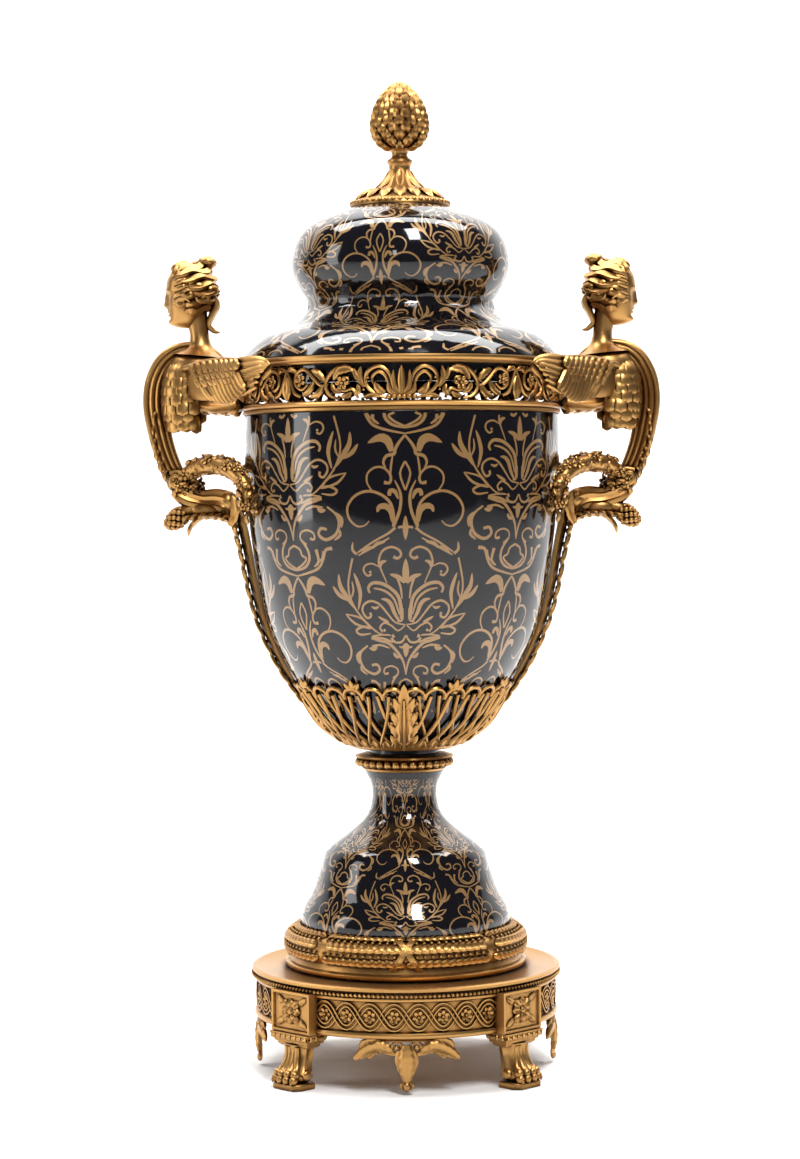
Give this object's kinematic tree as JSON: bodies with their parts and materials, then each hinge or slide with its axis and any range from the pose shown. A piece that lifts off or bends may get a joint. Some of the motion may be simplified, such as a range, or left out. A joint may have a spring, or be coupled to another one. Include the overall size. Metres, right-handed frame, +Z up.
{
  "type": "mantel urn",
  "caption": "Covered porcelain mantel urn with a pierced bronze gallery, winged-bust handles, a calyx, a laurel wreath and a round plinth on paw feet; the lid lifts off.",
  "frame": {"origin": "on the urn's axis, at floor level under the paw feet", "axes": "+Z up along the axis, the front faces -Y, the handles lie along X"},
  "size_m": [0.3358, 0.2092, 0.639],
  "materials": {
    "gilt_bronze": "cast and chased gilt bronze, burnished on the highlights, dark in the recesses",
    "black_porcelain": "glossy black glaze with a painted gold damask"
  },
  "bodies": {
    "root": {"plinth": "gilt_bronze", "paw_foot_front_right": "gilt_bronze", "paw_foot_back_right": "gilt_bronze", "paw_foot_back_left": "gilt_bronze", "paw_foot_front_left": "gilt_bronze", "apron_front": "gilt_bronze", "apron_right": "gilt_bronze", "apron_back": "gilt_bronze", "apron_left": "gilt_bronze", "laurel_ring": "gilt_bronze", "gadrooned_collar": "gilt_bronze", "lattice_calyx": "gilt_bronze", "pierced_gallery": "gilt_bronze", "handle_right": "gilt_bronze", "handle_left": "gilt_bronze", "finial": "gilt_bronze", "porcelain_foot": "black_porcelain", "porcelain_body": "black_porcelain", "porcelain_lid": "black_porcelain"}
  },
  "joints": []
}
